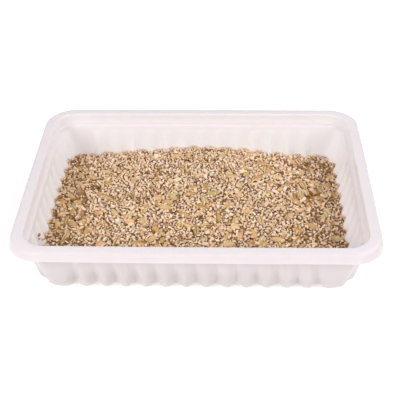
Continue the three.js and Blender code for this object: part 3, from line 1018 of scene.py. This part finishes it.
def granule_material():
    """Dusty mineral flakes, from dark specks to pale ones, some of them pinker and some yellower. The dark
    tones are also painted shade, on the layer underneath and at both ends of the bed.
    """
    look = Look("substrate_granules")
    tones = look.ramp(look.attribute("tone"), [
        (0.0, (0.25, 0.11, 0.03)),
        (0.2, (0.50, 0.29, 0.125)),
        (0.3, (0.86, 0.605, 0.39)),
        (0.5, (0.965, 0.74, 0.52)),
        (0.75, (0.985, 0.795, 0.595)),
        (0.92, (0.985, 0.82, 0.645)),
        (1.0, (0.98, 0.87, 0.74)),
    ])
    speckle = look.noise(scale=1400, detail=3, roughness=0.6)
    shade = look.ramp(speckle, [(0.3, (0.86, 0.82, 0.78)), (0.5, (1, 1, 1))])
    hue = look.plus(look.attribute("tint"), 0.5, look.noise(scale=120, detail=2))
    spread = look.ramp(hue, [(0.4, (0, 0, 0)), (1.0, (1, 1, 1))])
    look.color(look.tinted(look.product(tones, shade), spread, (1.0, 0.955, 1.08), (1.0, 1.0, 0.88)))
    look.set({"Roughness": 0.62, "Specular IOR Level": 0.35})
    look.bump(speckle, strength=0.5, distance=0.0003)
    return look.material


def core_material():
    """Dusty granules in bulk, lighter and redder on the side against the wall: painted light, which shows
    through the sheet in front of it.
    """
    look = Look("substrate_bulk")
    dust = look.noise(scale=700, detail=4, roughness=0.6)
    color = look.ramp(dust, [(0.35, (0.55, 0.43, 0.33)), (0.65, (0.65, 0.53, 0.43))])
    # painted light: the side against the wall is lighter and redder
    look.color(look.tinted(color, look.attribute("side"), (1, 1, 1), (1.5, 1.1, 1.15)))
    look.set({"Roughness": 0.95})
    look.bump(dust, strength=1.0, distance=0.0008)
    return look.material


def straw_material():
    """Dry straw with fine fibres."""
    look = Look("straw")
    fibre = look.noise(scale=1800, detail=2, roughness=0.6)
    color = look.ramp(look.attribute("tone"), [(0.5, (0.72, 0.50, 0.27)), (1.0, (0.97, 0.83, 0.58))])
    look.color(look.tinted(color, fibre, (0.7, 0.62, 0.5), (1, 1, 1)))
    look.set({"Roughness": 0.5})
    look.bump(fibre, strength=0.4, distance=0.0002)
    return look.material


def grain_material(name, dark, middle, light):
    """Husk with lengthwise streaks, with painted shade in its crease, and darker at its ends. tone is set per
    grain.
    """
    look = Look(name)
    blotch = look.noise(scale=520, detail=3, roughness=0.55)
    total = look.plus(blotch, 0.6, look.attribute("tone"))
    color = look.ramp(total, [(0.25, dark), (0.6, middle), (0.95, light)])
    streak = look.attribute("streak")
    # painted shade in the crease, between the ribs and along the hems, and the darker ends
    color = look.tinted(color, look.attribute("shade"), (1, 1, 1), (0.45, 0.31, 0.16))
    look.color(look.tinted(color, streak, (0.86, 0.82, 0.76), (1, 1, 1)))
    look.set({"Roughness": 0.45, "Specular IOR Level": 0.25})
    look.bump(streak, strength=0.5, distance=0.0002)
    return look.material


def floor_material():
    """Pale matt paint that gives off a little light, so that its shadows stay pale."""
    look = Look("floor_paint")
    cloud = look.noise(scale=6, detail=2)
    look.color(look.ramp(cloud, [(0.3, (0.92, 0.92, 0.92)), (0.7, (0.94, 0.94, 0.94))]))
    look.set({"Roughness": 0.9, "Emission Color": (1, 1, 1, 1), "Emission Strength": 0.3})
    return look.material


HUSKS = {
    "grain_golden": grain_material("husk_golden", (0.66, 0.40, 0.16), (0.88, 0.60, 0.29), (0.97, 0.76, 0.45)),
    "grain_green": grain_material("husk_green", (0.60, 0.43, 0.17), (0.83, 0.65, 0.33), (0.95, 0.80, 0.51)),
    "grain_orange": grain_material("husk_orange", (0.70, 0.38, 0.15), (0.92, 0.56, 0.27), (0.97, 0.72, 0.44)),
}

# ------------------------ building the tray and the core

tray = tray_mesh(plastic_material())
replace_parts(tray, "tray")
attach(tray, "root")

core = bed_core(core_material())
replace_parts(core, "substrate_bed")
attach(core, "root")

# ------------------------ building the grains

SLOT_OF_NODE = {row["node"]: row["material_slot"] for row in frame["record"]["subparts"]}
GRAIN_INSET = 3.9  # from the sheet to the line that covered grains and chaff keep inside

# Middle, nose, half length and sink of every grain, for the granules round them.
footprints = []

for node in sorted(n for n in frame["nodes"] if n.startswith("seed_")):
    middle, nose, up, length = node_axes(node)
    slot = SLOT_OF_NODE[node]
    roll = turned_over(RNG) + RNG.uniform(-SEED_ROLL, SEED_ROLL)
    flip = 1 if RNG.uniform() < 0.5 else -1
    single = GrainPiece()
    single.add(RNG, slot, length, middle, nose * flip, up, roll)
    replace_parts(single.finish(node.replace("seed", "grain"), slot), node)
    footprints.append((middle[:2], nose[:2], length / 2, 0.0))

grain_outline = bed_outline(SHEET + GRAIN_INSET)
covered = {slot: GrainPiece() for slot in GRAIN_KINDS}
for x, y in covered_places(RNG, grain_outline, footprints):
    slot = COVERED_KINDS[RNG.integers(len(COVERED_KINDS))]
    nose, up = surface_frame(x, y, RNG.uniform(0, np.pi))
    tip = RNG.normal(0, COVERED_TIP)
    nose = nose * math.cos(tip) + up * math.sin(tip)
    up = np.cross(nose, np.cross(up, nose))
    sink = RNG.uniform(*COVERED_SINK)
    middle = np.array([x, y, float(bed_height(x, y)) - sink])
    length = GRAIN_KINDS[slot][0] * RNG.uniform(*COVERED_LENGTH)
    roll = turned_over(RNG) + RNG.normal(0, COVERED_ROLL)
    covered[slot].add(RNG, slot, length, middle, nose, up, roll)
    footprints.append((middle[:2], nose[:2], length / 2, sink))
for slot, piece in covered.items():
    piece.finish("covered_" + slot, slot)

# ------------------------ building the granules and chaff

GRANULE_INSET = 0.9  # from the sheet to the line that the two layers keep inside

granules = granule_material()
granule_outline = bed_outline(SHEET + GRANULE_INSET)
lower = lower_layer(RNG, granule_outline)
upper, upper_radii = packed_layer(RNG, granule_outline)
upper = make_way_for_grains(upper, footprints)

lower_radii = LOWER_RADIUS * RNG.lognormal(0, LOWER_SPREAD, len(lower))
# dark tones for the layer underneath: painted shade in the gaps
lower_tones = RNG.uniform(*LOWER_TONES, len(lower))
loose_pieces = [granule_piece("granules_under", RNG, lower, lower_radii, lower_tones, granules)]
for side, chosen in {"left": upper[:, 0] < 0, "right": upper[:, 0] >= 0}.items():
    tones = granule_tones(RNG, upper[chosen])
    loose_pieces.append(granule_piece(
        f"granules_{side}", RNG, upper[chosen], upper_radii[chosen], tones, granules))
loose_pieces.append(edge_granules(RNG, granules))
loose_pieces.append(chaff_piece(RNG, grain_outline, straw_material()))
loose_pieces.append(wall_crumbs(RNG, granules))
for piece in loose_pieces:
    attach(piece, "root")

# ------------------------ floor and light

FLOOR_SIZE = 4.0  # metres, as the next three
FLOOR_GAP = 0.0002  # keeps the floor clear of the tray's underside
LIGHT_DISTANCE = 1.4
PANEL = 0.6
# Panels that face the tray: degrees right of its front, degrees up, side and watts.
LIGHTS = {
    "key": (-45, 30, PANEL, 6.8),
    "front": (45, 30, PANEL, 3.9),
    "side": (116, 50, PANEL, 4.5),
    "spark": (0, 40, 0.05, 1.0),
}

bpy.ops.mesh.primitive_plane_add(size=FLOOR_SIZE, location=(0, 0, -FLOOR_GAP))
floor = bpy.context.object
floor.name = "floor"
floor.data.materials.append(floor_material())

world = bpy.data.worlds.new("studio")
bpy.context.scene.world = world
world.use_nodes = True
background = world.node_tree.nodes["Background"]
background.inputs["Color"].default_value = (1.0, 0.99, 0.99, 1)
background.inputs["Strength"].default_value = 0.515


def area_light(name, azimuth, elevation, size, power):
    """A square panel that faces the tray."""
    data = bpy.data.lights.new(name, "AREA")
    data.shape = "SQUARE"
    data.size = size
    data.energy = power
    light = bpy.data.objects.new(name, data)
    a = math.radians(azimuth)
    e = math.radians(elevation)
    light.location = Vector((
        math.sin(a) * math.cos(e), -math.cos(a) * math.cos(e), math.sin(e))) * LIGHT_DISTANCE
    light.rotation_euler = (-light.location).to_track_quat("-Z", "Y").to_euler()
    bpy.context.scene.collection.objects.link(light)


for light_name, settings in LIGHTS.items():
    area_light(light_name, *settings)

# ------------------------ camera

LENS = 76.81
SENSOR = 36
CLOSEST = 0.01  # metres
CAMERA_PITCH = 37.056
CAMERA_YAW = -2.221
CAMERA_ROLL = -1.018
CAMERA_DISTANCE = 447.6 * MM
CAMERA_TARGET = Vector((1.61, -24.14, HEIGHT)) * MM


def front_camera():
    """The camera looks down at the rim's plane from the front."""
    pitch = math.radians(CAMERA_PITCH)
    yaw = math.radians(CAMERA_YAW)
    roll = math.radians(CAMERA_ROLL)
    forward = Vector((math.sin(yaw) * math.cos(pitch), math.cos(yaw) * math.cos(pitch), -math.sin(pitch)))
    level = Vector((math.cos(yaw), -math.sin(yaw), 0))
    upright = level.cross(forward)
    right = math.cos(roll) * level + math.sin(roll) * upright
    up = math.cos(roll) * upright - math.sin(roll) * level
    data = bpy.data.cameras.new("camera")
    data.lens = LENS
    data.sensor_width = SENSOR
    data.clip_start = CLOSEST
    camera = bpy.data.objects.new("camera", data)
    rotation = Matrix((right, up, -forward)).transposed()
    camera.matrix_world = Matrix.Translation(CAMERA_TARGET - forward * CAMERA_DISTANCE) @ rotation.to_4x4()
    bpy.context.scene.collection.objects.link(camera)
    bpy.context.scene.camera = camera


front_camera()
bpy.context.scene.view_settings.view_transform = "Standard"
